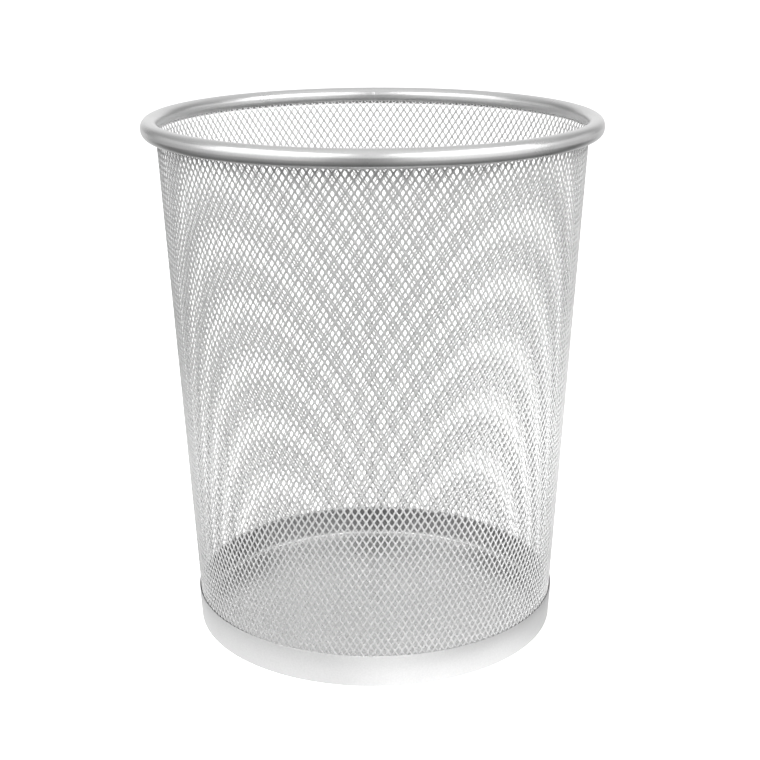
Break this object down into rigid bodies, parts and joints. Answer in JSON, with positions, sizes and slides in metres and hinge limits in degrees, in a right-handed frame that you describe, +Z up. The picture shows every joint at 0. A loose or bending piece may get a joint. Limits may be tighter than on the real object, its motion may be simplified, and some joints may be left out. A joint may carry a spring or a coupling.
{
  "type": "mesh wastebasket",
  "caption": "Tapered round office wastebasket: expanded-metal wall with diamond openings, hollow oval rim tube, and a solid base band crimped round a pressed floor pan.",
  "frame": {"origin": "on the ground at the centre of the base", "axes": "+Z up along the basket's axis of revolution; -Y is the front, and the closing joints of the rim, wall and band are at the back, +Y"},
  "size_m": [0.2972, 0.2972, 0.346],
  "materials": {
    "rim_paint": "gloss",
    "mesh_paint": "satin",
    "base_paint": "satin"
  },
  "bodies": {
    "root": {"rim_tube": "rim_paint", "rim_butt_weld": "rim_paint", "mesh_wall": "mesh_paint", "mesh_seam_welds": "mesh_paint", "base_band": "base_paint", "band_butt_weld": "base_paint", "floor_pan": "base_paint", "base_spot_welds": "base_paint"}
  },
  "joints": []
}
